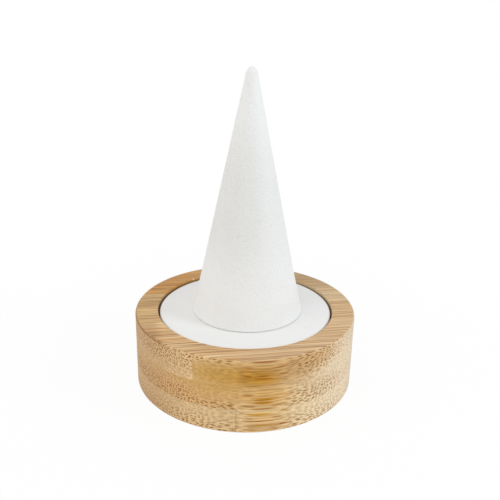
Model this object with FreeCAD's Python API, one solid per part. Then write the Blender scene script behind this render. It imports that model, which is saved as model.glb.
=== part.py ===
import FreeCAD, Part
import math
import os

# A ring display stand: a turned bamboo base, a covered pad let into its top, and a covered cone for rings.
# Sizes are in millimetres and +Z is up. The origin is the middle of the underside. The front is towards -Y.

# Bamboo base
BASE_DIAMETER = 76.0
BASE_HEIGHT = 25.6
BASE_TOP_ROUND = 0.8
BASE_FOOT_ROUND = 0.6
RIM_WIDTH = 7.7
RECESS_LIP_ROUND = 0.3

# Leatherette, the same sheet on the pad and on the cone
SHEET = 0.6

# Pad: a board disc with the sheet drawn over its top and edge and turned under
PAD_GAP = 0.6
PAD_SINK = 0.65
BOARD_THICKNESS = 4.0
PAD_HEM = 8.0

# Cone: a turned core with a pointed nose, the sheet wrapped round it and turned under its foot
CORE_FOOT_DIAMETER = 35.8
CORE_HEIGHT = 81.2
NOSE_DIAMETER = 2.5
NOSE_HEIGHT = 1.5
TIP_DIAMETER = 0.3
CONE_HEM = 6.0
CONE_OFF_CENTRE = 0.65
SEAM_GAP = 0.15

# Countersunk wood screw, driven from under the board into the core
SCREW_DIAMETER = 4.0
SCREW_LENGTH = 25.0
SCREW_POINT = 4.0
HEAD_DIAMETER = 8.0
HEAD_LAND = 0.3
CROSS_LENGTH = 4.4
CROSS_WIDTH = 0.9
CROSS_DEPTH = 1.6
BOARD_HOLE_PLAY = 0.2
PILOT_SPARE = 2.0

# A round is turned as narrow flats. This is how far each turns the surface, in degrees: 90 makes a bevel.
SHOWN_FLAT = 30.0
HIDDEN_FLAT = 90.0

# Levels, from the underside of the base up
recess_radius = BASE_DIAMETER / 2 - RIM_WIDTH
pad_top = BASE_HEIGHT - PAD_SINK
board_top = pad_top - SHEET
board_bottom = board_top - BOARD_THICKNESS
recess_floor = board_bottom - SHEET
core_bottom = pad_top + SHEET
core_top = core_bottom + CORE_HEIGHT
nose_bottom = core_top - NOSE_HEIGHT

# Plan sizes of what fits inside
pad_radius = recess_radius - PAD_GAP
board_radius = pad_radius - SHEET
core_foot_radius = CORE_FOOT_DIAMETER / 2
screw_radius = SCREW_DIAMETER / 2
head_radius = HEAD_DIAMETER / 2
cone_axis = FreeCAD.Vector(CONE_OFF_CENTRE, 0, 0)

NO_LENGTH = 1e-6
UP = FreeCAD.Vector(0, 0, 1)


def section_point(radius, height):
    return FreeCAD.Vector(radius, 0, height)


def rounded(before, corner, after, radius=0.0, flat=HIDDEN_FLAT):
    """One corner of a section, rounded off: the ends of its flats, all on the arc that touches both sides."""
    if radius == 0:
        return [corner]
    back = (before - corner).normalize()
    ahead = (after - corner).normalize()
    half = back.getAngle(ahead) / 2
    run = radius / math.tan(half)
    inward = (back + ahead).normalize()
    middle = corner + inward * (radius / math.sin(half) - radius)
    arc = Part.Arc(corner + back * run, middle, corner + ahead * run)
    flats = max(1, round((180 - math.degrees(2 * half)) / flat))
    return arc.toShape().discretize(flats + 1)


def turned(corners):
    """A solid of revolution about +Z, from the corners of its half section.

    Each corner is (radius, height) where it is sharp, or (radius, height, round, flat) where it is rounded.
    """
    points = [section_point(radius, height) for radius, height, *_ in corners]
    section = []
    for i, (_, _, *ease) in enumerate(corners):
        for point in rounded(points[i - 1], points[i], points[(i + 1) % len(points)], *ease):
            if not section or point.distanceToPoint(section[-1]) > NO_LENGTH:
                section.append(point)
    section.append(section[0])
    return Part.Face(Part.makePolygon(section)).revolve(FreeCAD.Vector(), UP, 360)


def bamboo_base():
    """One block of laminated bamboo, turned round, with a blind recess for the pad."""
    outer = BASE_DIAMETER / 2
    return turned([
        (0, 0),
        (outer, 0, BASE_FOOT_ROUND, HIDDEN_FLAT),
        (outer, BASE_HEIGHT, BASE_TOP_ROUND, SHOWN_FLAT),
        (recess_radius, BASE_HEIGHT, RECESS_LIP_ROUND, HIDDEN_FLAT),
        (recess_radius, recess_floor),
        (0, recess_floor),
    ])


def outward(start, end):
    """Unit normal of one side of a half section that runs from the axis round to the axis, bottom first."""
    along = (end - start).normalize()
    return FreeCAD.Vector(along.z, 0, -along.x)


def covered(corners, sheet):
    """A sharp-cornered turned piece, grown all round by the sheet over it, which rounds off its corners.

    Each corner is (radius, height) on the axis, or (radius, height, flat) off it.
    """
    points = [section_point(radius, height) for radius, height, *_ in corners]
    normals = [outward(start, end) for start, end in zip(points, points[1:])]
    grown = []
    for i, (_, _, *flat) in enumerate(corners):
        before = normals[max(i - 1, 0)]
        after = normals[min(i, len(normals) - 1)]
        point = points[i] + (before + after) * (sheet / (1 + before.dot(after)))
        grown.append((point.x, point.z, sheet, *flat) if flat else (point.x, point.z))
    return turned(grown)


def disc(sheet):
    """The board's disc and the sheet over it, or the bare disc where the sheet is 0."""
    return covered([
        (0, board_bottom),
        (board_radius, board_bottom, HIDDEN_FLAT),
        (board_radius, board_top, SHOWN_FLAT),
        (0, board_top),
    ], sheet)


def screw_way(radius, bottom, top):
    """A straight round hole on the cone's axis."""
    return Part.makeCylinder(radius, top - bottom, section_point(0, bottom) + cone_axis, UP)


def pad_board():
    """The board, bored and countersunk from below for the screw."""
    hole_radius = screw_radius + BOARD_HOLE_PLAY
    sink_depth = HEAD_LAND + head_radius - hole_radius
    countersink = turned([
        (0, board_bottom - SHEET),
        (head_radius, board_bottom - SHEET),
        (head_radius, board_bottom + HEAD_LAND),
        (hole_radius, board_bottom + sink_depth),
        (hole_radius, board_top + SHEET),
        (0, board_top + SHEET),
    ])
    countersink.translate(cone_axis)
    return disc(0).cut(countersink)


def pad_cover():
    """The sheet over the board, turned under as a hem and pierced for the screw."""
    skin = disc(SHEET).cut(disc(0))
    below = section_point(0, board_bottom - 1.5 * SHEET)
    under = Part.makeCylinder(board_radius - PAD_HEM, 2 * SHEET, below)
    pierced = screw_way(screw_radius + BOARD_HOLE_PLAY, board_top - SHEET, pad_top + SHEET)
    return skin.cut(under).cut(pierced)


def cone(sheet):
    """The core's cone and the sheet over it, or the bare core where the sheet is 0."""
    solid = covered([
        (0, core_bottom),
        (core_foot_radius, core_bottom, SHOWN_FLAT),
        (NOSE_DIAMETER / 2, nose_bottom, SHOWN_FLAT),
        (TIP_DIAMETER / 2, core_top, SHOWN_FLAT),
        (0, core_top),
    ], sheet)
    solid.translate(cone_axis)
    return solid


def cone_core():
    """The turned core, with the blind hole that the screw bites into."""
    hole_top = board_bottom + SCREW_LENGTH + PILOT_SPARE
    return cone(0).cut(screw_way(screw_radius, core_bottom - SHEET, hole_top))


def cone_cover():
    """The sheet round the core: hemmed under the foot, closed over the nose, its edges butted at the back."""
    skin = cone(SHEET).cut(cone(0))
    under = screw_way(core_foot_radius - CONE_HEM, core_bottom - 1.5 * SHEET, core_bottom + SHEET / 2)
    seam_low = core_bottom - 2 * SHEET
    seam_reach = core_foot_radius + 2 * SHEET
    corner = cone_axis + FreeCAD.Vector(-SEAM_GAP / 2, 0, seam_low)
    seam = Part.makeBox(SEAM_GAP, seam_reach, nose_bottom - seam_low, corner)
    return skin.cut(under).cut(seam)


def cone_screw():
    """The screw that holds the cone to the pad: countersunk head, cross recess, plain shank and point."""
    tip = board_bottom + SCREW_LENGTH
    neck = board_bottom + HEAD_LAND + head_radius - screw_radius
    screw = turned([
        (0, board_bottom),
        (head_radius, board_bottom),
        (head_radius, board_bottom + HEAD_LAND),
        (screw_radius, neck),
        (screw_radius, tip - SCREW_POINT),
        (0, tip),
    ])
    for turn in (0, 90):
        corner = FreeCAD.Vector(-CROSS_LENGTH / 2, -CROSS_WIDTH / 2, board_bottom - CROSS_DEPTH)
        slot = Part.makeBox(CROSS_LENGTH, CROSS_WIDTH, 2 * CROSS_DEPTH, corner)
        slot.rotate(FreeCAD.Vector(), UP, turn)
        screw = screw.cut(slot)
    screw.translate(cone_axis)
    return screw


os.makedirs("parts", exist_ok=True)
for piece in (bamboo_base, pad_board, pad_cover, cone_core, cone_cover, cone_screw):
    piece().exportStep("parts/" + piece.__name__ + ".step")
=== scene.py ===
import math

import bpy
from mathutils import Matrix, Vector, noise


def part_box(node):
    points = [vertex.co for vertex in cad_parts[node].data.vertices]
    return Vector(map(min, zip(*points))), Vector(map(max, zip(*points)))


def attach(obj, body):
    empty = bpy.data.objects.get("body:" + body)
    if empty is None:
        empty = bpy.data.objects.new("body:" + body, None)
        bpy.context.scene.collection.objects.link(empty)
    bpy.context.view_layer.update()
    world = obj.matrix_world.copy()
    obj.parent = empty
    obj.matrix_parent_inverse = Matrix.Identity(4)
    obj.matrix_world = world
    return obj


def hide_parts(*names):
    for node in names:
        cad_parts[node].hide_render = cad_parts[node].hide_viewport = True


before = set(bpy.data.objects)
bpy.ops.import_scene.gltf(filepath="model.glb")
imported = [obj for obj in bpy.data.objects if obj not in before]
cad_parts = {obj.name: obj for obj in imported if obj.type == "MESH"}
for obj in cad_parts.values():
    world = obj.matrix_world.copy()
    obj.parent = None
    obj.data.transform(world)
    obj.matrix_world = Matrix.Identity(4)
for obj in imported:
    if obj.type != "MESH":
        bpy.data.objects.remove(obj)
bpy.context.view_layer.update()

MM = 0.001


def reach(node):
    """The radius of a round solid on the part's axis, as its box has it."""
    low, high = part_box(node)
    return min(-low.x, high.x, -low.y, high.y)


# Sizes that the boxes of the solids give
base_radius = reach("bamboo_base")
base_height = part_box("bamboo_base")[1].z
pad_radius = reach("pad_cover")
pad_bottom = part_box("pad_cover")[0].z
pad_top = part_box("pad_cover")[1].z
board_radius = reach("pad_board")
board_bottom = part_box("pad_board")[0].z
board_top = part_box("pad_board")[1].z
core_low, core_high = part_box("cone_core")
cone_x = (core_low.x + core_high.x) / 2
core_foot_radius = (core_high.x - core_low.x) / 2
sheet = pad_top - board_top

# Sizes that the boxes don't give, the same as in the solids
RIM_WIDTH = 7.7 * MM
BASE_TOP_ROUND = 0.8 * MM
BASE_FOOT_ROUND = 0.6 * MM
RECESS_LIP_ROUND = 0.3 * MM
PAD_HEM = 8.0 * MM
PAD_HOLE_RADIUS = 2.2 * MM
CONE_HEM = 6.0 * MM
NOSE_RADIUS = 1.25 * MM
NOSE_HEIGHT = 1.5 * MM
TIP_RADIUS = 0.15 * MM

recess_radius = base_radius - RIM_WIDTH

# How finely the meshes are made
COLUMNS = 192
ARC_STEP = math.radians(15)
SIDE_STEP = 1.0 * MM
HOLD = 0.1 * MM
SHORT_SIDE = 3 * HOLD
NO_RADIUS = 1e-7
SHARP_ANGLE = math.radians(50)


def rounded_corner(before, corner, after, radius):
    """Points of the arc that rounds one corner of a half section, or the corner itself."""
    if radius == 0:
        return [corner]
    back = (before - corner).normalized()
    ahead = (after - corner).normalized()
    half = back.angle(ahead) / 2
    centre = corner + (back + ahead).normalized() * (radius / math.sin(half))
    start = corner + back * (radius / math.tan(half)) - centre
    end = corner + ahead * (radius / math.tan(half)) - centre
    sweep = math.copysign(math.pi - 2 * half, start.cross(end))
    steps = max(2, round(abs(sweep) / ARC_STEP))
    return [centre + Matrix.Rotation(sweep * i / steps, 2) @ start for i in range(steps + 1)]


def side_points(start, end):
    """Points between two corners: one close to each, so that shading stays crisp, and even steps between."""
    length = (end - start).length
    if length < SHORT_SIDE:
        return []
    steps = max(1, round((length - 2 * HOLD) / SIDE_STEP))
    places = [HOLD + (length - 2 * HOLD) * i / steps for i in range(steps + 1)]
    return [start.lerp(end, place / length) for place in places]


def half_section(corners):
    """The outline of a half section from its corners (radius, height, round), as closely spaced points."""
    points = [Vector((radius, height)) for radius, height, _ in corners]
    arcs = []
    for i, (_, _, radius) in enumerate(corners):
        arcs.append(rounded_corner(points[i - 1], points[i], points[(i + 1) % len(points)], radius))
    outline = list(arcs[0])
    for arc in arcs[1:]:
        outline += side_points(outline[-1], arc[0]) + arc
    return outline


def joined_rings(name, rings, closed):
    """A mesh through rings of points, where a ring of one point is a pole.

    A closed mesh joins its last ring to its first.
    """
    places = []
    firsts = []
    for ring in rings:
        firsts.append(len(places))
        places += ring
    faces = []
    for i in range(len(rings) if closed else len(rings) - 1):
        j = (i + 1) % len(rings)
        count = max(len(rings[i]), len(rings[j]))
        for k in range(count):
            n = (k + 1) % count
            if len(rings[i]) == 1:
                faces.append((firsts[i], firsts[j] + n, firsts[j] + k))
            elif len(rings[j]) == 1:
                faces.append((firsts[i] + k, firsts[i] + n, firsts[j]))
            else:
                faces.append((firsts[i] + k, firsts[i] + n, firsts[j] + n, firsts[j] + k))
    mesh = bpy.data.meshes.new(name)
    mesh.from_pydata(places, [], faces)
    mesh.validate()
    mesh.update()
    mesh.shade_smooth()
    mesh.set_sharp_from_angle(angle=SHARP_ANGLE)
    piece = bpy.data.objects.new(name, mesh)
    bpy.context.scene.collection.objects.link(piece)
    return piece


def ring_of(radius, height, centre_x=0.0):
    """One ring of a turned piece, or its pole where the radius is nothing."""
    if radius < NO_RADIUS:
        return [(centre_x, 0.0, height)]
    angles = [2 * math.pi * k / COLUMNS for k in range(COLUMNS)]
    return [(centre_x + radius * math.cos(a), radius * math.sin(a), height) for a in angles]


def dress(piece, node, material):
    """The piece stands for its node, hides it, wears its material and rides on the part."""
    piece.data.materials.append(material)
    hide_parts(node)
    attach(piece, "root")


# Bamboo base
def base_mesh():
    """One turned block: eased foot, side, rounded rim and the recess for the pad."""
    outline = half_section([
        (0, 0, 0),
        (base_radius, 0, BASE_FOOT_ROUND),
        (base_radius, base_height, BASE_TOP_ROUND),
        (recess_radius, base_height, RECESS_LIP_ROUND),
        (recess_radius, pad_bottom, 0),
        (0, pad_bottom, 0),
    ])
    return joined_rings("base_of_bamboo", [ring_of(p.x, p.y) for p in outline], closed=False)


# Pad
def pad_mesh():
    """The sheet over the board: hem, edge, top and the screw's hole, which is on the cone's axis."""
    hem_radius = board_radius - PAD_HEM
    outer = half_section([
        (hem_radius, pad_bottom, 0),
        (pad_radius, pad_bottom, sheet),
        (pad_radius, pad_top, sheet),
        (core_foot_radius, pad_top, 0),
    ])
    inner = half_section([
        (core_foot_radius, board_top, 0),
        (board_radius, board_top, 0),
        (board_radius, board_bottom, 0),
        (hem_radius, board_bottom, 0),
    ])
    rings = [ring_of(p.x, p.y) for p in outer]
    rings += [ring_of(PAD_HOLE_RADIUS, level, cone_x) for level in (pad_top, board_top)]
    rings += [ring_of(p.x, p.y) for p in inner]
    return joined_rings("cover_of_pad", rings, closed=True)


# Cone, with forms that the solids leave out: a bulge over the foot's hem, a blunt, gathered tip, and waves
FOOT_BULGE = 0.45 * MM
SIDE_BULGE = 0.1 * MM
FLARE_HEIGHT = 12.0 * MM
TIP_SPREAD = 0.22 * MM
TIP_DROP = 0.3 * MM
TIP_SINK = 0.22 * MM
PLEATS = 3
PLEAT_TURN = 2.0
PLEAT_DEPTH = 0.04 * MM
PLEAT_SPAN = 3.5 * MM
PLEAT_FADE = 1.0 * MM
WAVE_DEPTH = 0.04 * MM
WAVE_LENGTH = 9.0 * MM

# Columns of points beside the seam at the back, in millimetres: distance from it and how far raised
SEAM_COLUMNS = ((0.55, 0.0), (0.3, 0.03), (0.14, 0.02), (0.08, -0.06), (0.075, -0.4))


def normals_of(outline):
    """The outward unit normal at each point of an outline that runs from the foot's inside up to the tip."""
    found = []
    for i in range(len(outline)):
        along = outline[min(i + 1, len(outline) - 1)] - outline[max(i - 1, 0)]
        found.append(Vector((along.y, -along.x)).normalized())
    return found


def grown_corner(before, corner, after, amount):
    """Where a convex corner of a half section goes when both its sides move out by the same amount."""
    first = (corner - before).normalized()
    second = (after - corner).normalized()
    first = Vector((first.y, -first.x))
    second = Vector((second.y, -second.x))
    return corner + (first + second) * (amount / (1 + first.dot(second)))


def seam_angles(radius):
    """The columns of one ring: the angle of each from the seam, and how far it is raised."""
    wide_enough = max(radius, NOSE_RADIUS + sheet)
    near = [(math.asin(offset * MM / wide_enough), raised * MM) for offset, raised in SEAM_COLUMNS]
    near.sort()
    last = near[-1][0]
    spare = COLUMNS - 2 * len(near)
    even = [(last + (2 * math.pi - 2 * last) * (k + 1) / (spare + 1), 0.0) for k in range(spare)]
    far = [(2 * math.pi - angle, raised) for angle, raised in reversed(near)]
    return near + even + far


def cone_ring(point, normal, top, outside):
    """One ring of the cone's sheet, on its outside with the seam, slight waves and the gathers of the tip."""
    if point.x < NO_RADIUS:
        return [(cone_x, 0.0, point.y)]
    below_top = top - point.y
    near_tip = max(0.0, 1 - below_top / PLEAT_SPAN) if outside else 0.0
    gathered = PLEAT_DEPTH * near_tip * min(1.0, point.x / PLEAT_FADE)
    seam_here = outside and below_top > NOSE_HEIGHT + sheet
    ring = []
    for turn, raised in seam_angles(point.x):
        angle = math.pi / 2 + turn
        out = raised if seam_here else 0.0
        if outside and raised == 0.0:
            place = Vector((math.cos(angle), math.sin(angle), 0)) * point.x
            place.z = point.y
            out += WAVE_DEPTH * noise.noise(place / WAVE_LENGTH)
        out += gathered * math.sin(PLEATS * angle + PLEAT_TURN)
        radius = point.x + normal.x * out
        height = min(top, point.y + normal.y * out)
        ring.append((cone_x + radius * math.cos(angle), radius * math.sin(angle), height))
    return ring


def cone_mesh():
    """The sheet round the core: hem, rolled foot, side, gathered tip and the butted seam at the back."""
    hem_radius = core_foot_radius - CONE_HEM
    core = [Vector(p) for p in (
        (0, core_low.z),
        (core_foot_radius, core_low.z),
        (NOSE_RADIUS, core_high.z - NOSE_HEIGHT),
        (TIP_RADIUS, core_high.z),
        (0, core_high.z),
    )]
    foot, shoulder, tip = [grown_corner(*core[i - 1:i + 2], sheet) for i in (1, 2, 3)]
    top = core_high.z + sheet
    flare = foot.lerp(shoulder, FLARE_HEIGHT / (shoulder.y - foot.y))
    outside = half_section([
        (hem_radius, core_low.z, 0),
        (hem_radius, core_low.z - sheet, 0),
        (foot.x + FOOT_BULGE, foot.y, sheet),
        (flare.x + SIDE_BULGE, flare.y, 0),
        (shoulder.x, shoulder.y, sheet),
        (tip.x + TIP_SPREAD, tip.y - TIP_DROP, sheet),
        (0, top - TIP_SINK, 0),
    ])
    inside = half_section([
        (0, core_high.z, 0),
        (TIP_RADIUS, core_high.z, 0),
        (NOSE_RADIUS, core_high.z - NOSE_HEIGHT, 0),
        (core_foot_radius, core_low.z, 0),
        (hem_radius, core_low.z, 0),
    ])
    no_normal = Vector((0, 0))
    rings = [cone_ring(p, normal, top, outside=True) for p, normal in zip(outside, normals_of(outside))]
    rings += [cone_ring(p, no_normal, top, outside=False) for p in inside[:-1]]
    return joined_rings("cover_of_cone", rings, closed=True)


# Materials, as node graphs. A soft spot has its full strength over this part of its radius.
SPOT_HEART = 0.3


def colour(red, green, blue):
    """A colour from a screen's values of 0 to 255, turned by the sRGB curve into a shader's linear ones."""
    linear = []
    for value in (red, green, blue):
        part = value / 255
        linear.append(part / 12.92 if part <= 0.04045 else ((part + 0.055) / 1.055) ** 2.4)
    return (*linear, 1.0)


class Graph:
    """A material's nodes, written as arithmetic. Methods return what comes out of the nodes that they add.

    Two return the node itself: add, and cells, which has several outputs of use.
    """

    def __init__(self, name):
        self.material = bpy.data.materials.new(name)
        self.material.use_nodes = True
        self.tree = self.material.node_tree
        self.tree.nodes.clear()

    def add(self, kind, inputs=(), **settings):
        node = self.tree.nodes.new(kind)
        for key, value in settings.items():
            setattr(node, key, value)
        for key, value in dict(inputs).items():
            if isinstance(value, bpy.types.NodeSocket):
                self.tree.links.new(value, node.inputs[key])
            else:
                node.inputs[key].default_value = value
        return node

    def sum(self, *terms):
        total = terms[0]
        for term in terms[1:]:
            total = self.add("ShaderNodeMath", {0: total, 1: term}, operation="ADD").outputs[0]
        return total

    def product(self, *terms):
        total = terms[0]
        for term in terms[1:]:
            total = self.add("ShaderNodeMath", {0: total, 1: term}, operation="MULTIPLY").outputs[0]
        return total

    def math(self, operation, *terms):
        return self.add("ShaderNodeMath", dict(enumerate(terms)), operation=operation).outputs[0]

    def ramp(self, value, low, high, to_low=0.0, to_high=1.0):
        """Smooth passage from to_low to to_high while the value goes from low to high."""
        inputs = {"Value": value, "From Min": low, "From Max": high, "To Min": to_low, "To Max": to_high}
        return self.add("ShaderNodeMapRange", inputs, interpolation_type="SMOOTHSTEP").outputs["Result"]

    def fade(self, value, low, high, strength=1.0):
        """Smooth passage from this strength to nothing while the value goes from low to high."""
        return self.ramp(value, low, high, strength, 0.0)

    def rest_of(self, amount):
        """What an amount leaves of 1."""
        return self.sum(1.0, self.product(amount, -1.0))

    def choose(self, amount, first, second):
        """A number between two others."""
        inputs = {0: amount, 2: first, 3: second}
        return self.add("ShaderNodeMix", inputs, data_type="FLOAT").outputs[0]

    def blend(self, amount, first, second, mode="MIX"):
        """A colour between two others."""
        inputs = {0: amount, 6: first, 7: second}
        return self.add("ShaderNodeMix", inputs, data_type="RGBA", blend_type=mode).outputs[2]

    def vector(self, x, y, z=0.0):
        return self.add("ShaderNodeCombineXYZ", {"X": x, "Y": y, "Z": z}).outputs[0]

    def split(self, vector):
        return self.add("ShaderNodeSeparateXYZ", {0: vector}).outputs[:3]

    def length(self, vector):
        return self.add("ShaderNodeVectorMath", {0: vector}, operation="LENGTH").outputs["Value"]

    def millimetres(self):
        """The place on the piece, in millimetres from the part's origin."""
        place = self.add("ShaderNodeTexCoord").outputs["Object"]
        return self.add("ShaderNodeVectorMath", {0: place, "Scale": 1 / MM}, operation="SCALE").outputs[0]

    def noise(self, vector, scale=1.0, detail=2.0, roughness=0.5):
        inputs = {"Vector": vector, "Scale": scale, "Detail": detail, "Roughness": roughness}
        return self.add("ShaderNodeTexNoise", inputs, noise_dimensions="3D").outputs["Fac"]

    def cells(self, vector, scale, randomness, dimensions="3D", feature="F1"):
        inputs = {"Vector": vector, "Scale": scale, "Randomness": randomness}
        return self.add("ShaderNodeTexVoronoi", inputs, voronoi_dimensions=dimensions, feature=feature)

    def spot(self, place, middle, radius, strength):
        """A soft round spot of this strength about a point."""
        away = self.add("ShaderNodeVectorMath", {0: place, 1: middle}, operation="DISTANCE").outputs["Value"]
        return self.fade(away, SPOT_HEART * radius, radius, strength)

    def bump(self, height, strength, distance):
        inputs = {"Height": height, "Strength": strength, "Distance": distance}
        return self.add("ShaderNodeBump", inputs).outputs[0]

    def surface(self, **inputs):
        """The finished surface. Names of inputs have _ for a space."""
        named = {key.replace("_", " "): value for key, value in inputs.items()}
        shader = self.add("ShaderNodeBsdfPrincipled", named)
        self.add("ShaderNodeOutputMaterial", {"Surface": shader.outputs[0]})
        return self.material


# Bamboo: three plies of strips with the grain all one way, and bundles in each strip that run with the grain.
# In millimetres, u is the place along the grain, v across it towards the back, and w up.
GRAIN_TURN = math.radians(11.1)
WOOD_TOP = base_height / MM
WOOD_RADIUS = base_radius / MM
WOOD_RECESS = recess_radius / MM
LOWER_PLY_TOP = 8.35
UPPER_PLY_BOTTOM = 16.6
PLY_HEIGHT = 8.5
UPPER_JOINTS = (-31.4, -8.5, 14.4)
MIDDLE_JOINTS = (2.0, 24.9)
LOWER_JOINTS = (-36.95, -14.05, 8.85, 31.75)
JOINT_BLUR = 0.2
GLUE_HALF_WIDTH = 0.22

# Bundles: spacing in a row, rows to a millimetre, how many more outside, and how far they stray both ways
BUNDLE_SPACING = 0.68
ROWS_INSIDE = 1.12
MORE_OUTSIDE = 0.2
STRAY_ACROSS = 2.6
STRAY_IN_ROWS = 2.4
BUNDLE_SCATTER = 0.75

# What sets the pattern of a strip, and of the upper ply, off from the next
STRIP_SHIFT = 7.3
PLY_SHIFT = 5.7

# Sizes as parts of the spacing, but DOT_EDGE as parts of a bundle's own radius
SPARSE_RADIUS = 0.37
DENSE_RADIUS = 0.35
RADIUS_RANGE = (0.8, 1.1)
DOT_EDGE = (0.6, 1.15)
HOLLOW_EDGE = (0.06, 0.2)
HALO_EDGE = (0.36, 0.55)

# How finely the wood's patterns repeat along the grain, across it and up, per millimetre
WANDER_SCALE = (0.02, 0.09, 0.09)
CLOUD_SCALE = (0.03, 0.16, 0.2)
FIBRE_SCALE = (0.05, 2.2, 2.2)
LINE_SCALE = (0.02, 1.05, 1.5)

PEACH = colour(230, 196, 147)
OLIVE = colour(214, 178, 126)
ORANGE = colour(212, 160, 94)
TAN = colour(219, 177, 120)
SAND = colour(226, 180, 108)
STRAW = colour(229, 198, 146)
WHEAT = colour(236, 207, 158)
PALE = colour(225, 194, 146)
CREAM = colour(234, 216, 188)
BROWN = colour(203, 157, 92)
GOLD = colour(202, 155, 76)
AMBER = colour(194, 140, 42)
HONEY = colour(196, 158, 112)
GLUE = colour(140, 96, 54)
RIM_TAN = colour(218, 184, 141)
RIM_PALE = colour(221, 194, 154)
RIM_OLIVE = colour(191, 163, 124)
PAINTED_SHEEN_ASH = colour(212, 200, 178)
# The colour of the painted shade over the recess's wall and the underside's middle
PAINTED_RECESS_SHADE = colour(120, 90, 52)
SPECK = colour(240, 226, 206)

# What the darker parts of the wood do to the colour of the ground
BUNDLE_SHADE = (0.36, 0.17, 0.0, 1.0)
LINE_SHADE = (0.58, 0.36, 0.17, 1.0)
SAP_SHADE = (0.72, 0.52, 0.04, 1.0)

# Spans over which one look passes into the next. Along the grain, counted to the right from the middle:
CUT_LENGTHWISE = (5.5, 11.0)
FRONT_MIDDLE = (-2.0, 2.0)
DENSE_RIGHT = (4.0, 14.0)
FAINT_RIGHT = (18.0, 32.0)
MIDDLE_PLY_PALER = (-26.0, 8.0)
RIM_TONE_START = (-22.0, 0.0)
RIM_LINES_WEAKEN = (-14.0, 2.0)
RIM_LEFT_END = (-33.0, -28.5)
EDGE_LINE_END = (-33.0, -26.0)

# Across the grain, counted to the back:
RIM_PALER = (-3.0, 3.0)
RIM_DARKER = (5.0, 20.0)
EDGE_LINE_BACK = (0.0, 8.0)

# Up, and out from the axis:
TOP_EDGE = (WOOD_TOP - 0.4, WOOD_TOP - 0.05)
# Heights of the recess's painted shade: full below the first, none above the second
RECESS_SHADE_HEIGHTS = (WOOD_TOP - 1.2, WOOD_TOP - 0.1)
DENSE_HIGH = (UPPER_PLY_BOTTOM, 22.0)
RECESS_EDGE = (WOOD_RECESS - 0.1, WOOD_RECESS + 0.3)
EDGE_LINE_OUT = (WOOD_RADIUS - 1.5, WOOD_RADIUS - 1.0)

# Where sap hides most bundles, left of the front's middle
UPPER_GOLD_RIGHT = (2.0, 12.0)
UPPER_GOLD_TOP = (23.5, 25.0)
MIDDLE_GOLD_LEFT = (-26.0, -18.0)
MIDDLE_GOLD_RIGHT = (0.0, 8.0)
MIDDLE_GOLD_BACK = (-20.0, -10.0)
MIDDLE_GOLD_BOTTOM = (10.0, 12.0)

# Tones that come over the side towards its ends: from and to along the grain, strength at each, and colour.
# The cream is partly the strips' own paler tone and partly painted light, the ash at the right end is a
# painted sheen, and the honey at the left end is painted shade.
SIDE_TONES_AND_PAINTED_LIGHT = (
    (2.0, 26.0, 0.0, 0.7, CREAM),
    (29.0, 37.0, 0.0, 0.8, PAINTED_SHEEN_ASH),
    (-35.0, -20.0, 0.7, 0.0, HONEY),
)

# The height of the dark line along the left edge, and how much the upper ply's front joint keeps sap out
EDGE_LINE_HEIGHT = WOOD_TOP - 0.5
KEPT_OUT = 0.85

# A pale speck on the recess's lip, where the photograph shows one: place, radius and strength
LIP_SPECK = ((-15.9, 26.2, 25.4), 0.6, 0.9)

# Where sap has stained the front: middle along the grain and up, reach both ways, strength and colour
STAINS = (
    (14.5, 23.5, 17.0, 7.0, 0.7, BROWN),
    (-9.0, 20.2, 30.0, 8.0, 0.95, GOLD),
    (-13.0, 13.6, 18.0, 6.0, 0.35, GOLD),
    (-2.0, 19.8, 11.0, 4.2, 0.7, AMBER),
    (0.0, 18.5, 8.0, 1.8, 0.6, AMBER),
    (1.0, 12.6, 12.0, 4.8, 0.9, SAND),
    (-0.5, 11.4, 5.0, 1.6, 0.45, GOLD),
    (0.5, 5.0, 8.0, 5.0, 0.4, SAND),
    (11.0, 20.5, 11.0, 8.0, 0.5, HONEY),
    (18.0, 12.5, 10.0, 6.0, 0.25, HONEY),
)

# Single bundles that the cut lays bare lengthwise at the front: from, to, height, half thickness and strength
SAP_STREAKS = (
    (-4.6, 3.8, 21.3, 0.34, 0.5),
    (-6.4, -4.0, 20.4, 0.44, 0.9),
    (-2.4, 1.5, 20.3, 0.42, 0.9),
    (-3.8, 2.7, 19.35, 0.42, 1.0),
    (-3.6, 3.4, 12.0, 0.5, 1.0),
    (-3.1, 2.8, 10.8, 0.46, 1.0),
    (-6.0, 2.8, 6.75, 0.46, 0.95),
    (-3.9, 2.8, 2.7, 0.42, 0.85),
)
DARK_STREAKS = (
    (-5.0, 4.6, 25.15, 0.34, 0.95),
    (2.7, 6.2, 23.0, 0.28, 0.6),
    (-2.2, 3.4, 22.5, 0.26, 0.5),
    (4.4, 7.3, 20.6, 0.32, 0.85),
    (-2.6, 4.8, 15.6, 0.26, 0.55),
    (-7.6, -2.7, 13.8, 0.34, 0.6),
    (-2.8, 2.3, 13.2, 0.26, 0.55),
    (-6.2, -2.5, 9.6, 0.3, 0.85),
    (2.3, 6.1, 9.6, 0.32, 0.85),
    (-5.9, 5.0, 8.65, 0.26, 0.95),
    (2.4, 5.8, 5.6, 0.26, 0.55),
    (-7.6, 1.6, 4.3, 0.28, 0.65),
    (4.8, 8.2, 2.6, 0.45, 0.8),
)

# Over which part of its reach a stain, streak or thin line has its full strength
STAIN_HEART = 0.15
STREAK_HEART = 0.45
LINE_HEART = 0.4

# A streak's reach to either side, as a part of its length
STREAK_REACH = 0.62


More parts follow.
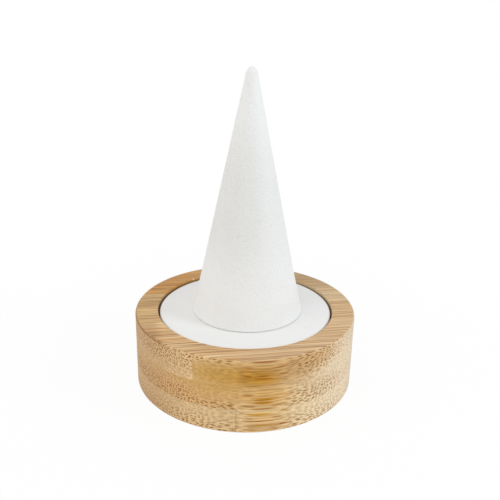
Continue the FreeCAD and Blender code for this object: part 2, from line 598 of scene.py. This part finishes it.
class Bamboo(Graph):
    """The base's material. Its find methods work out, one after the other, what is at a place in the wood."""

    def __init__(self):
        super().__init__("bamboo")
        turned = {"Vector": self.millimetres(), "Angle": -GRAIN_TURN}
        self.place = self.add("ShaderNodeVectorRotate", turned, rotation_type="Z_AXIS").outputs[0]
        self.u, self.v, self.w = self.split(self.place)
        self.from_axis = self.length(self.vector(self.u, self.v))
        self.find_plies()
        self.find_density()
        self.find_cut()
        self.find_bundles()
        self.find_fibre()
        self.find_seams()

    def by_ply(self, mix, upper, middle, lower):
        """What the place's own ply has, out of three numbers or three colours."""
        return mix(self.upper, mix(self.lower, middle, lower), upper)

    def joint_count(self, joints):
        """How many of a ply's joints lie in front of the place, which numbers its strip."""
        return self.sum(*[self.math("GREATER_THAN", self.v, joint) for joint in joints])

    def stretched(self, along, across, up):
        """The place, scaled differently along the grain, across it and up."""
        return self.vector(
            self.product(self.u, along),
            self.product(self.v, across),
            self.product(self.w, up),
        )

    def line_beside(self, across, middle, half_width, strength):
        """A thin soft line, such as the glue of a joint."""
        aside = self.math("ABSOLUTE", self.sum(across, -middle))
        return self.fade(aside, LINE_HEART * half_width, half_width, strength)

    def front_patch(self, along, up, half_length, half_height, strength, heart):
        """A soft-edged oval patch at the front of the base."""
        away = {0: self.place, 1: (along, -WOOD_RADIUS, up)}
        reach_of = (half_length, WOOD_RADIUS, half_height)
        scaled = {0: self.add("ShaderNodeVectorMath", away, operation="SUBTRACT").outputs[0], 1: reach_of}
        distance = self.length(self.add("ShaderNodeVectorMath", scaled, operation="DIVIDE").outputs[0])
        return self.fade(distance, heart, 1.0, strength)

    def front_streaks(self, streaks):
        """All the streaks of one kind: each an oval patch, drawn out along the grain."""
        total = 0.0
        for start, end, up, thickness, strength in streaks:
            half_length = STREAK_REACH * (end - start)
            one = self.front_patch((start + end) / 2, up, half_length, thickness, strength, STREAK_HEART)
            total = self.math("MAXIMUM", one, total)
        return self.product(total, self.off_top)

    def find_plies(self):
        """The ply, the depth in it towards the outside of the culm, and the number of the strip."""
        self.upper = self.math("GREATER_THAN", self.w, UPPER_PLY_BOTTOM)
        self.lower = self.math("LESS_THAN", self.w, LOWER_PLY_TOP)
        upper_depth = self.product(self.sum(self.w, -UPPER_PLY_BOTTOM), 1 / PLY_HEIGHT)
        lower_depth = self.sum(LOWER_PLY_TOP / PLY_HEIGHT, self.product(self.w, -1 / PLY_HEIGHT))
        self.depth = self.by_ply(self.choose, upper_depth, self.sum(1.0, lower_depth), lower_depth)
        counts = [self.joint_count(joints) for joints in (UPPER_JOINTS, MIDDLE_JOINTS, LOWER_JOINTS)]
        self.strip = self.by_ply(self.choose, *counts)
        self.front_upper = self.product(self.upper, self.math("LESS_THAN", self.v, UPPER_JOINTS[0]))

    def find_density(self):
        """How dense the bundles are: most at the culm's outside and at the right of the upper front strip."""
        by_depth = self.product(self.ramp(self.depth, 0.0, 1.0), self.choose(self.lower, 1.0, 0.8))
        in_front = self.product(
            self.front_upper,
            self.ramp(self.u, *DENSE_RIGHT, 0.0, 0.8),
            self.ramp(self.w, *DENSE_HIGH, 0.1, 1.0),
        )
        self.dense = self.math("MAXIMUM", by_depth, in_front)

    def find_cut(self):
        """Where the cut is: on the top, in the recess, or along the grain, as at the front and back."""
        self.on_top = self.ramp(self.w, *TOP_EDGE)
        self.off_top = self.rest_of(self.on_top)
        self.in_recess = self.fade(self.from_axis, *RECESS_EDGE)
        self.lengthwise = self.fade(self.math("ABSOLUTE", self.u), *CUT_LENGTHWISE)

    def find_bundles(self):
        """The bundles: dark dots where the grain is cut across, the sparse ones hollow, and a pale halo."""
        wander_in = {"Vector": self.stretched(*WANDER_SCALE), "Scale": 1.0, "Detail": 1.0}
        wander = self.split(self.add("ShaderNodeTexNoise", wander_in).outputs["Color"])
        shift = self.sum(self.product(self.strip, STRIP_SHIFT), self.product(self.upper, PLY_SHIFT))
        swayed = self.sum(self.v, self.product(wander[0], STRAY_ACROSS))
        across = self.sum(self.product(swayed, 1 / BUNDLE_SPACING), shift)
        rows_per_mm = self.sum(ROWS_INSIDE, self.product(self.depth, MORE_OUTSIDE))
        rows = self.product(self.depth, rows_per_mm, PLY_HEIGHT)
        up = self.sum(rows, self.product(wander[1], STRAY_IN_ROWS), shift)
        found = self.cells(self.vector(across, up), 1.0, BUNDLE_SCATTER, dimensions="2D")
        distance = found.outputs["Distance"]
        fate = self.split(found.outputs["Color"])[0]
        size = self.product(
            self.choose(self.dense, SPARSE_RADIUS, DENSE_RADIUS),
            self.choose(fate, *RADIUS_RANGE),
            self.choose(self.front_upper, 1.0, 0.85),
        )
        dot = self.fade(distance, *[self.product(size, part) for part in DOT_EDGE])
        hollow = self.product(self.fade(distance, *HOLLOW_EDGE), self.fade(self.dense, 0.25, 0.6, 0.8))
        self.bundle = self.product(dot, self.bundle_weight(fate), self.rest_of(hollow))
        self.halo = self.ramp(distance, *HALO_EDGE)

    def bundle_weight(self, fate):
        """How dark a bundle is: by its own fate, by how dense they are, and by where on the base it shows."""
        cloud = self.noise(self.stretched(*CLOUD_SCALE), detail=1.0)
        return self.product(
            self.ramp(self.dense, 0.0, 0.7, 0.3, 1.0),
            self.choose(fate, 0.7, 1.0),
            self.ramp(cloud, 0.3, 0.6, 0.8, 1.0),
            self.choose(self.golden_area(), 1.0, 0.15),
            self.choose(self.lower, 1.0, 0.9),
            self.ramp(self.u, *FAINT_RIGHT, 1.0, 0.5),
            self.choose(self.product(self.lengthwise, self.off_top), 1.0, 0.22),
            self.choose(self.on_top, 1.0, 0.6),
            self.choose(self.in_recess, 1.0, 0.2),
        )

    def golden_area(self):
        """Where sap hides most of the bundles, in the upper ply and in the middle one."""
        in_upper = self.product(
            self.front_upper,
            self.fade(self.w, *UPPER_GOLD_TOP),
            self.fade(self.u, *UPPER_GOLD_RIGHT),
        )
        in_middle = self.product(
            self.ramp(self.w, *MIDDLE_GOLD_BOTTOM),
            self.fade(self.w, UPPER_PLY_BOTTOM, UPPER_PLY_BOTTOM + 0.1),
            self.ramp(self.u, *MIDDLE_GOLD_LEFT),
            self.fade(self.u, *MIDDLE_GOLD_RIGHT),
            self.fade(self.v, *MIDDLE_GOLD_BACK),
        )
        return self.math("MAXIMUM", in_upper, in_middle)

    def find_fibre(self):
        """Fine lines along the grain, strongest where the wood is cut along it."""
        self.fine = self.noise(self.stretched(*FIBRE_SCALE), detail=3.0, roughness=0.65)
        thin = self.noise(self.stretched(*LINE_SCALE), detail=3.0, roughness=0.6)
        on_side = self.choose(self.lengthwise, 0.1, self.choose(self.lower, 0.55, 0.75))
        on_rim = self.product(
            self.ramp(self.u, *RIM_LINES_WEAKEN, 0.62, 0.36),
            self.ramp(self.v, UPPER_JOINTS[1] - 1.0, UPPER_JOINTS[1] + 1.0, 1.0, 0.6),
        )
        self.line = self.product(self.fade(thin, 0.4, 0.51), self.choose(self.on_top, on_side, on_rim))

    def find_seams(self):
        """The glue lines that show: two across the top, fainter down the side, and one low on the front."""
        nearer = self.line_beside(self.v, UPPER_JOINTS[1], GLUE_HALF_WIDTH, 0.6)
        farther = self.line_beside(self.v, UPPER_JOINTS[2], GLUE_HALF_WIDTH, 0.3)
        across_top = self.product(self.sum(nearer, farther), self.choose(self.on_top, 0.45, 1.0))
        low_front = self.line_beside(self.v, LOWER_JOINTS[0] - 0.04, 0.06, 0.25)
        low_left = self.product(low_front, self.fade(self.u, *FRONT_MIDDLE))
        self.seam = self.sum(self.product(self.upper, across_top), self.product(self.lower, low_left))

    def strip_tone(self, joints, tones):
        """The colour of a ply's strips, from the front one to the back one."""
        tone = tones[0]
        for joint, next_tone in zip(joints, tones[1:]):
            tone = self.blend(self.ramp(self.v, joint - JOINT_BLUR, joint + JOINT_BLUR), tone, next_tone)
        return tone

    def ground_tone(self):
        """The colour before stains, fibre and bundles: each strip's, and over it the rim's and the side's
        towards its ends, with painted light at the right end and painted shade at the left.
        """
        upper = self.strip_tone(UPPER_JOINTS, (PEACH, PEACH, OLIVE, ORANGE))
        middle = self.blend(self.ramp(self.u, *MIDDLE_PLY_PALER), TAN, STRAW)
        lower_front = self.blend(self.ramp(self.u, *FRONT_MIDDLE), PALE, WHEAT)
        lower = self.strip_tone(LOWER_JOINTS, (STRAW, lower_front, PALE, TAN, STRAW))
        ground = self.by_ply(self.blend, upper, middle, lower)
        rim = self.blend(self.ramp(self.v, *RIM_PALER), RIM_TAN, RIM_PALE)
        rim = self.blend(self.ramp(self.v, *RIM_DARKER), rim, RIM_OLIVE)
        to_right = self.product(self.on_top, self.ramp(self.u, *RIM_TONE_START, 0.0, 0.85))
        ground = self.blend(to_right, ground, rim)
        front_left = self.product(
            self.on_top,
            self.fade(self.u, *RIM_LEFT_END, 0.8),
            self.fade(self.v, UPPER_JOINTS[1] - 0.5, UPPER_JOINTS[1] + 0.5),
        )
        ground = self.blend(front_left, ground, HONEY)
        # The side's ends: painted shade at the left, and towards the right painted light and sheen, partly
        # the strips' own paler tone
        for start, end, at_start, at_end, tone in SIDE_TONES_AND_PAINTED_LIGHT:
            amount = self.product(self.ramp(self.u, start, end, at_start, at_end), self.off_top)
            ground = self.blend(amount, ground, tone)
        return ground

    def stained(self, ground):
        """The ground with its sap stains, which on the left hardly pass the upper ply's front joint."""
        behind_joint = self.math("GREATER_THAN", self.v, UPPER_JOINTS[0])
        on_left = self.math("LESS_THAN", self.u, 0.0)
        kept_out = self.product(self.upper, behind_joint, on_left, KEPT_OUT)
        reached = self.product(self.off_top, self.rest_of(kept_out))
        for along, up, half_length, half_height, strength, tone in STAINS:
            patch = self.front_patch(along, up, half_length, half_height, strength, STAIN_HEART)
            ground = self.blend(self.product(patch, reached), ground, tone)
        return ground

    def shaded(self, ground):
        """The ground shaded by its fibre and bundles, and by the streaks at the front."""
        darkest = self.choose(self.on_top, 0.9, 0.79)
        lightest = self.choose(self.on_top, 1.08, 1.2)
        halo = self.choose(self.product(self.halo, self.off_top), 0.98, 1.085)
        grey = self.product(self.ramp(self.fine, 0.34, 0.66, darkest, lightest), halo)
        ground = self.blend(1.0, ground, self.vector(grey, grey, grey), mode="MULTIPLY")
        for amount, shade in (
            (self.line, LINE_SHADE),
            (self.bundle, BUNDLE_SHADE),
            (self.front_streaks(SAP_STREAKS), SAP_SHADE),
            (self.front_streaks(DARK_STREAKS), LINE_SHADE),
        ):
            ground = self.blend(amount, ground, shade, mode="MULTIPLY")
        return ground

    def edged(self, ground):
        """The ground with glue lines, the left edge's dark line, painted shade over the recess and the speck
        on its lip.
        """
        ground = self.blend(self.seam, ground, GLUE)
        beside_seam = self.line_beside(self.v, LOWER_JOINTS[0] + 0.1, 0.08, 0.2)
        pale_edge = self.product(beside_seam, self.lower, self.fade(self.u, *FRONT_MIDDLE))
        ground = self.blend(pale_edge, ground, CREAM)
        left_edge = self.product(
            self.line_beside(self.w, EDGE_LINE_HEIGHT, 0.45, 0.55),
            self.fade(self.u, *EDGE_LINE_END),
            self.fade(self.v, *EDGE_LINE_BACK),
            self.ramp(self.from_axis, *EDGE_LINE_OUT),
        )
        ground = self.blend(left_edge, ground, GLUE)
        # Painted shade: the recess's wall, and the underside within the recess's radius, darkened towards a
        # dark brown
        painted_recess_shade = self.product(self.in_recess, self.fade(self.w, *RECESS_SHADE_HEIGHTS, 0.75))
        ground = self.blend(painted_recess_shade, ground, PAINTED_RECESS_SHADE)
        return self.blend(self.spot(self.place, *LIP_SPECK), ground, SPECK)

    def finished(self):
        """The wood under a thin matt lacquer."""
        height = self.sum(
            self.product(self.fine, 0.5),
            self.product(self.bundle, -0.2),
            self.product(self.line, -0.3),
            self.product(self.seam, -0.5),
        )
        return self.surface(
            Base_Color=self.edged(self.shaded(self.stained(self.ground_tone()))),
            Roughness=self.ramp(self.fine, 0.2, 0.8, 0.46, 0.6),
            Specular_IOR_Level=0.18,
            Coat_Weight=0.03,
            Coat_Roughness=0.35,
            Normal=self.bump(height, 0.35, 0.05 * MM),
        )


def bamboo():
    """Laminated bamboo, sanded and thinly lacquered."""
    return Bamboo().finished()


# Leatherette on the pad and on the cone
WHITE = colour(240, 240, 238)
BRIGHT_WHITE = colour(245, 245, 243)
# Grey for the grain's creases, the marks, and the painted shade at the cone's middle
CREASE_MARK_AND_SHADE_GREY = colour(222, 221, 217)
GRAIN_HEIGHT = 0.13 * MM

# Small marks in the sheets: place in millimetres, radius and strength
CONE_MARKS = (((0.7, -1.8, 105.8), 0.5, 0.45), ((-0.45, -2.35, 101.8), 0.8, 0.22))
PAD_MARKS = (((20.8, -13.7, 24.95), 1.1, 0.3),)

# Painted shade in a grey band on the cone, in millimetres: from which heights it grows, to which it fades,
# and less towards the right, where the light falls
MID_SHADE_FROM = (36.0, 58.0)
MID_SHADE_TO = (72.0, 98.0)
MID_SHADE_RIGHT = (1.0, 8.0)

# How much of that grey is left above those heights
MID_SHADE_ABOVE = 0.3


def leatherette(name, white, grain, relief, mottle, mid_shade_strength, marks):
    """White coated sheet with a pebbled grain, whose size is in millimetres. It is greyer in the grain's
    creases and at its marks, and painted shade greys a band at mid-height, less towards the lit right.
    """
    g = Graph(name)
    place = g.millimetres()
    to_right, _, up = g.split(place)
    # Painted shade: grey at the cone's mid-height, less above it and towards the lit right
    painted_mid_shade = g.product(
        g.ramp(up, *MID_SHADE_FROM),
        g.ramp(up, *MID_SHADE_TO, mid_shade_strength, MID_SHADE_ABOVE * mid_shade_strength),
        g.ramp(to_right, *MID_SHADE_RIGHT, 1.0, 0.6),
    )
    marked = g.sum(*[g.spot(place, *mark) for mark in marks])
    pebble = g.cells(place, 1 / grain, 1.0, feature="SMOOTH_F1").outputs["Distance"]
    fine = g.noise(place, 2.2 / grain, detail=3.0, roughness=0.6)
    slow = g.noise(place, 0.08, detail=2.0)
    mottled = g.product(g.sum(g.ramp(pebble, 0.35, 0.7), g.ramp(slow, 0.35, 0.75)), mottle)
    height = g.sum(g.product(pebble, -1.0), g.product(fine, 0.5))
    return g.surface(
        Base_Color=g.blend(g.sum(mottled, painted_mid_shade, marked), white, CREASE_MARK_AND_SHADE_GREY),
        Roughness=g.ramp(fine, 0.2, 0.8, 0.44, 0.6),
        Normal=g.bump(height, relief, GRAIN_HEIGHT),
    )


# Hidden pieces
CHIP_DARK = colour(146, 116, 82)
CHIP_LIGHT = colour(186, 154, 114)
CHIP_CLOUD = colour(160, 126, 90)
EARLY_WOOD = colour(226, 198, 156)
LATE_WOOD = colour(202, 166, 118)
PORE = colour(160, 122, 80)
ZINC = colour(206, 208, 210)
DULL_ZINC = colour(182, 182, 178)


def fibreboard():
    """Raw board of pressed fibres."""
    g = Graph("fibreboard")
    place = g.millimetres()
    fleck = g.noise(place, 2.5, detail=5.0, roughness=0.7)
    cloud = g.noise(place, 0.3, detail=2.0)
    body = g.blend(g.ramp(fleck, 0.35, 0.7), CHIP_DARK, CHIP_LIGHT)
    body = g.blend(g.product(cloud, 0.3), body, CHIP_CLOUD)
    return g.surface(Base_Color=body, Roughness=0.85, Normal=g.bump(fleck, 0.4, 0.1 * MM))


def turned_wood():
    """Raw wood with upright year rings, open pores and the fine rings of the lathe."""
    g = Graph("turned_wood")
    x, y, z = g.split(g.millimetres())
    sway = g.noise(g.vector(g.product(x, 0.1), g.product(y, 0.1), g.product(z, 0.03)), detail=2.0)
    year = g.math("FRACT", g.sum(g.product(x, 0.55), g.product(sway, 3.0)))
    pore = g.noise(g.vector(g.product(x, 3.0), g.product(y, 3.0), g.product(z, 0.2)), detail=3.0)
    body = g.blend(g.ramp(year, 0.0, 1.0), EARLY_WOOD, LATE_WOOD)
    body = g.blend(g.ramp(pore, 0.55, 0.75, 0.0, 0.5), body, PORE)
    lathe = g.noise(g.vector(0.0, 0.0, g.product(z, 4.0)))
    height = g.sum(pore, g.product(lathe, 0.6))
    return g.surface(Base_Color=body, Roughness=0.7, Normal=g.bump(height, 0.4, 0.08 * MM))


def zinc_steel():
    """Zinc-plated steel, slightly brushed and dulled in patches."""
    g = Graph("zinc_steel")
    x, y, z = g.split(g.millimetres())
    lines = g.noise(g.vector(g.product(x, 6.0), g.product(y, 6.0), g.product(z, 0.8)), detail=3.0)
    stain = g.noise(g.vector(x, y, z), 0.6, detail=3.0)
    body = g.blend(g.ramp(stain, 0.4, 0.7), ZINC, DULL_ZINC)
    return g.surface(
        Base_Color=body,
        Metallic=1.0,
        Roughness=g.ramp(lines, 0.2, 0.8, 0.22, 0.4),
        Normal=g.bump(lines, 0.15, 0.03 * MM),
    )


def wear(node, material):
    """A solid that stays takes its material."""
    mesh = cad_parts[node].data
    mesh.materials.clear()
    mesh.materials.append(material)


pad_leatherette = leatherette(
    "pad_leatherette", WHITE, grain=0.45, relief=0.08, mottle=0.08, mid_shade_strength=0.0, marks=PAD_MARKS)
cone_leatherette = leatherette(
    "cone_leatherette", BRIGHT_WHITE, grain=0.54, relief=0.95, mottle=0.08, mid_shade_strength=0.55, marks=CONE_MARKS)
dress(base_mesh(), "bamboo_base", bamboo())
dress(pad_mesh(), "pad_cover", pad_leatherette)
dress(cone_mesh(), "cone_cover", cone_leatherette)
wear("pad_board", fibreboard())
wear("cone_core", turned_wood())
wear("cone_screw", zinc_steel())

# Floor and surroundings: white to the camera, plain to the light, and the floor keeps the object's shadow.
# Its own glow grows from near the object to full over a span in millimetres from the middle.
FLOOR_SIZE = 3.0
FLOOR_WHITE = (0.95, 0.95, 0.95, 1.0)
PURE_WHITE = (1.0, 1.0, 1.0, 1.0)
GLOW_NEAR = 0.94
GLOW_SPAN = (50.0, 220.0)
AMBIENT = 0.62


def seen_directly(tree):
    """1 for the rays that see white surroundings: those of the camera, of gloss and through glass."""
    path = tree.nodes.new("ShaderNodeLightPath")
    total = path.outputs["Is Camera Ray"]
    for other in ("Is Glossy Ray", "Is Transmission Ray"):
        either = tree.nodes.new("ShaderNodeMath")
        either.operation = "MAXIMUM"
        tree.links.new(total, either.inputs[0])
        tree.links.new(path.outputs[other], either.inputs[1])
        total = either.outputs[0]
    return total


def floor():
    """A matt floor that takes the object's shadow and passes into plain white away from it."""
    g = Graph("floor")
    matt = g.add("ShaderNodeBsdfDiffuse", {"Color": FLOOR_WHITE})
    glow = g.add("ShaderNodeEmission", {"Color": PURE_WHITE, "Strength": 1.0})
    away = g.length(g.millimetres())
    share = g.product(seen_directly(g.tree), g.ramp(away, *GLOW_SPAN, GLOW_NEAR, 1.0))
    both = g.add("ShaderNodeMixShader", {0: share, 1: matt.outputs[0], 2: glow.outputs[0]})
    g.add("ShaderNodeOutputMaterial", {"Surface": both.outputs[0]})
    half = FLOOR_SIZE / 2
    corners = [(-half, -half, 0), (half, -half, 0), (half, half, 0), (-half, half, 0)]
    mesh = bpy.data.meshes.new("floor")
    mesh.from_pydata(corners, [], [(0, 1, 2, 3)])
    plane = bpy.data.objects.new("floor", mesh)
    mesh.materials.append(g.material)
    bpy.context.scene.collection.objects.link(plane)


def surroundings():
    """White to the rays that see it directly, and an even, weaker light to all others."""
    world = bpy.data.worlds.new("surroundings")
    world.use_nodes = True
    bpy.context.scene.world = world
    tree = world.node_tree
    background = tree.nodes["Background"]
    background.inputs["Color"].default_value = PURE_WHITE
    strength = tree.nodes.new("ShaderNodeMapRange")
    strength.inputs["To Min"].default_value = AMBIENT
    strength.inputs["To Max"].default_value = 1.0
    tree.links.new(seen_directly(tree), strength.inputs["Value"])
    tree.links.new(strength.outputs["Result"], background.inputs["Strength"])


# Soft lamps: name, place and side length in metres, power in watts, and tint
LAMPS = (
    ("overhead", (-0.2, -0.2, 0.8), 0.3, 1.0, (1.0, 0.94, 0.92)),
    ("right", (0.57, -0.2, 0.36), 0.2, 1.34, (0.84, 0.93, 1.0)),
    ("left", (-0.55, -0.25, 0.35), 0.5, 0.72, (1.0, 1.0, 1.0)),
)
LAMP_AIM = Vector((0, 0, 0.04))


def lamp(name, place, size, power, tint):
    """A square soft lamp at a place, turned to the object."""
    light = bpy.data.lights.new(name, "AREA")
    light.shape = "SQUARE"
    light.size = size
    light.energy = power
    light.color = tint
    holder = bpy.data.objects.new(name, light)
    holder.location = place
    holder.rotation_euler = (LAMP_AIM - Vector(place)).to_track_quat("-Z", "Y").to_euler()
    bpy.context.scene.collection.objects.link(holder)


# The photograph's camera, fitted to the outlines of the base, the pad and the cone
CAMERA_PLACE = (4.82 * MM, -211.89 * MM, 126.70 * MM)
CAMERA_PITCH = math.radians(20.697)
CAMERA_YAW = math.radians(-0.966)
CAMERA_ROLL = math.radians(1.268)
CAMERA_LENS = 48.05
SENSOR_WIDTH = 36.0
NEAREST_SEEN = 1 * MM


def camera():
    """The camera, from its place and the angles by which it looks down, turns aside and leans."""
    forward = Vector((
        math.sin(CAMERA_YAW) * math.cos(CAMERA_PITCH),
        math.cos(CAMERA_YAW) * math.cos(CAMERA_PITCH),
        -math.sin(CAMERA_PITCH),
    ))
    level = forward.cross(Vector((0, 0, 1))).normalized()
    over = level.cross(forward)
    right = level * math.cos(CAMERA_ROLL) + over * math.sin(CAMERA_ROLL)
    up = over * math.cos(CAMERA_ROLL) - level * math.sin(CAMERA_ROLL)
    data = bpy.data.cameras.new("camera")
    data.sensor_width = SENSOR_WIDTH
    data.lens = CAMERA_LENS
    data.clip_start = NEAREST_SEEN
    holder = bpy.data.objects.new("camera", data)
    turn = Matrix((right, up, -forward)).transposed().to_4x4()
    holder.matrix_world = Matrix.Translation(CAMERA_PLACE) @ turn
    bpy.context.scene.collection.objects.link(holder)
    bpy.context.scene.camera = holder


floor()
surroundings()
for settings in LAMPS:
    lamp(*settings)
camera()
bpy.context.scene.view_settings.view_transform = "Standard"
